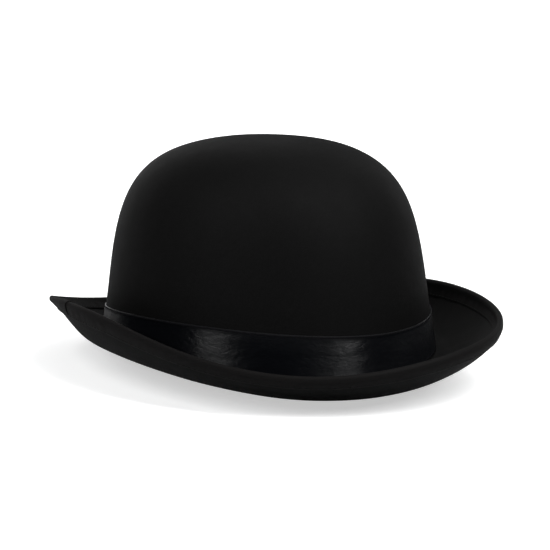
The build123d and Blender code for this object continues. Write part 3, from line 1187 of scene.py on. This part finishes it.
def bow_loop(side):
    """Rows of a loop of tape that leaves the knot, swells and comes back to it."""
    made = []
    for k in range(49):
        turn = 2 * pi * k / 48
        reach = 5.9 - 5.9 * cos(turn)
        height = 1.75 * sin(turn) * (0.7 + 0.3 * sin(turn / 2))
        pinch = 0.62 + 0.38 * ease(reach, 0.5, 6.0)
        centre = bow_middle + Vector((side * reach, -height, 0.5 * sin(turn / 2)))
        step = Vector((side * sin(turn), -0.35 * cos(turn), 0)).normalized()
        normal = step.cross(UP).normalized() * (tape_thick / 2)
        outer = [centre + normal + UP * (tape_half * pinch * (m / 3.5 - 1)) for m in range(8)]
        inner = [centre - normal + UP * (tape_half * pinch * (m / 3.5 - 1)) for m in range(8)]
        made.append(outer + inner[::-1])
    return made


# Rayon tape: narrow, black and ribbed across every 0.6 mm.
bow_tape, tree = new_finish("ribbed_rayon_tape")
flat = put(tree, "ShaderNodeUVMap", uv_map="cloth").outputs["UV"]
rib = put(
    tree,
    "ShaderNodeTexWave",
    {"Vector": flat, "Scale": 1000 / 0.6 * pi / 10, "Distortion": 0.3},
    bands_direction="X",
)
tone = put(
    tree,
    "ShaderNodeMixRGB",
    {"Fac": rib.outputs["Fac"], "Color1": linear("#0d0d0f"), "Color2": linear("#222226")},
)
relief = put(
    tree, "ShaderNodeBump", {"Height": rib.outputs["Fac"], "Strength": 0.5, "Distance": 0.1 * MM}
)
skin = put(
    tree,
    "ShaderNodeBsdfPrincipled",
    {
        "Base Color": tone.outputs["Color"],
        "Roughness": 0.5,
        "IOR": 1.5,
        "Sheen Weight": 0.06,
        "Normal": relief.outputs["Normal"],
    },
)
put(tree, "ShaderNodeOutputMaterial", {"Surface": skin.outputs["BSDF"]})

for name, side in (("bow_loop_left", 1), ("bow_loop_right", -1)):
    loop = cloth(name, bow_loop(side), round_head=False)
    dress(loop, bow_tape, "bow_tape")
rows = []
for k in range(25):
    turn = 2 * pi * k / 24
    out = Vector((cos(turn) * 1.45, sin(turn) * 1.7, 0))
    skin_out = out + out.normalized() * 0.45
    heights = [2.6 * (m / 4.5 - 1) * (1 - 0.06 * sin(m / 9 * pi)) for m in range(10)]
    waist = [1 - 0.12 * sin(m / 9 * pi) for m in range(10)]
    outer = [bow_middle + skin_out * w + UP * h for w, h in zip(waist, heights)]
    inner = [bow_middle + out * w + UP * h for w, h in zip(waist, heights)]
    rows.append(outer + inner[::-1])
knot = cloth("bow_knot", rows, round_head=False)
dress(knot, bow_tape, "bow_tape", "sweatband_bow")

# ---------------------------------------------------------------------------------------
# Studio. A white paper floor that glows with painted light, two tall softboxes either side of the
# camera, a broad soft light overhead, a white wall behind the hat and a small card on the far
# right.

camera_azimuth = radians(-29.383)
camera_elevation = radians(9.002)
camera_roll = radians(0.582)
camera_distance = 1.50007
camera_aim = (0.004681, 0.042182)
view_scale = 1812.0
view_width = 550
sensor_width = 36.0

back = Vector(
    (
        sin(camera_azimuth) * cos(camera_elevation),
        -cos(camera_azimuth) * cos(camera_elevation),
        sin(camera_elevation),
    )
)
right = Vector((cos(camera_azimuth), sin(camera_azimuth), 0))
up = back.cross(right)
lens = bpy.data.cameras.new("camera")
lens.sensor_width = sensor_width
lens.lens = view_scale * camera_distance / view_width * sensor_width
lens.clip_end = 60.0
camera = bpy.data.objects.new("camera", lens)
bpy.context.scene.collection.objects.link(camera)
level = right * cos(camera_roll) - up * sin(camera_roll)
upright = right * sin(camera_roll) + up * cos(camera_roll)
spot = head_centre + right * camera_aim[0] + up * camera_aim[1] + back * camera_distance
axes = Matrix((level, upright, back)).transposed()
camera.matrix_world = Matrix.Translation(spot) @ axes.to_4x4()
bpy.context.scene.camera = camera
bpy.context.scene.view_settings.view_transform = "Standard"

floor_mesh = bpy.data.meshes.new("paper_floor")
disc = bmesh.new()
bmesh.ops.create_circle(disc, cap_ends=True, radius=12.0, segments=96)
disc.to_mesh(floor_mesh)
disc.free()
floor = bpy.data.objects.new("paper_floor", floor_mesh)
bpy.context.scene.collection.objects.link(floor)
floor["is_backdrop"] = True

# Matt white background paper, even in colour and without any shine. It also glows with painted
# light that only the camera sees. The glow is faint near the hat, so the hat's shadow on it shows,
# and rises to full white about a metre away. To every other ray the paper is a dimmer grey that
# barely glows.
paper, tree = new_finish("matt_white_paper")
seen = put(tree, "ShaderNodeLightPath").outputs["Is Camera Ray"]
place = put(tree, "ShaderNodeTexCoord").outputs["Object"]
away = put(tree, "ShaderNodeVectorMath", {0: place}, operation="LENGTH").outputs["Value"]
# Painted glow: emission for camera rays only, growing from 0.52 near the hat to 1.1 about a metre
# out.
painted_glow_ramp = put(
    tree,
    "ShaderNodeMapRange",
    {"Value": away, "From Min": 0.35, "From Max": 1.2, "To Min": 0.52, "To Max": 1.1},
)
painted_glow = put(
    tree,
    "ShaderNodeMapRange",
    {"Value": seen, "To Min": 0.02, "To Max": painted_glow_ramp.outputs["Result"]},
)
tooth = put(tree, "ShaderNodeTexNoise", {"Vector": place, "Scale": 1000 / 90.0})
tone = put(
    tree,
    "ShaderNodeMixRGB",
    {"Fac": tooth.outputs["Fac"], "Color1": linear("#eceded"), "Color2": linear("#f0f0f0")},
)
given_back = put(
    tree,
    "ShaderNodeMixRGB",
    {"Fac": seen, "Color1": linear("#c4c5c6"), "Color2": tone.outputs["Color"]},
)
skin = put(
    tree,
    "ShaderNodeBsdfPrincipled",
    {
        "Base Color": given_back.outputs["Color"],
        "Roughness": 1.0,
        "Specular IOR Level": 0.0,
        "Emission Color": linear("#ffffff"),
        "Emission Strength": painted_glow.outputs["Result"],
    },
)
put(tree, "ShaderNodeOutputMaterial", {"Surface": skin.outputs["BSDF"]})
floor.data.materials.append(paper)

for name, azimuth, elevation, distance, wide, tall, watts in (
    ("softbox_left", -82.0, 40.0, 1.7, 0.55, 1.4, 18.5),
    ("softbox_right", 22.0, 48.0, 1.7, 0.48, 1.5, 30.0),
    ("white_wall", 176.0, 12.0, 2.8, 2.2, 1.4, 11.0),
    ("side_card", 121.0, 10.0, 2.4, 0.7, 0.9, 2.2),
):
    lamp = bpy.data.lights.new(name, "AREA")
    lamp.shape = "RECTANGLE"
    lamp.size, lamp.size_y = wide, tall
    lamp.energy = watts
    a, e = radians(azimuth), radians(elevation)
    away = Vector((sin(a) * cos(e), -cos(a) * cos(e), sin(e)))
    holder = bpy.data.objects.new(name, lamp)
    holder.location = away * distance + Vector((0, 0, 0.06))
    holder.rotation_euler = away.to_track_quat("Z", "Y").to_euler()
    holder.visible_camera = False
    bpy.context.scene.collection.objects.link(holder)

overhead = bpy.data.lights.new("overhead_scrim", "SUN")
overhead.angle = radians(90)
overhead.energy = 0.78
holder = bpy.data.objects.new("overhead_scrim", overhead)
holder.rotation_euler = Vector((0.7, 0.1, 1)).to_track_quat("Z", "Y").to_euler()
bpy.context.scene.collection.objects.link(holder)

world = bpy.data.worlds.new("studio")
bpy.context.scene.world = world
world.use_nodes = True
tree = world.node_tree
tree.nodes.clear()
seen = put(tree, "ShaderNodeLightPath").outputs["Is Camera Ray"]
glow = put(
    tree,
    "ShaderNodeMixRGB",
    {"Fac": seen, "Color1": linear("#2d2d2f"), "Color2": (1.05, 1.05, 1.05, 1)},
)
air = put(tree, "ShaderNodeBackground", {"Color": glow.outputs["Color"], "Strength": 1.0})
put(tree, "ShaderNodeOutputWorld", {"Surface": air.outputs["Background"]})

low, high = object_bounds()
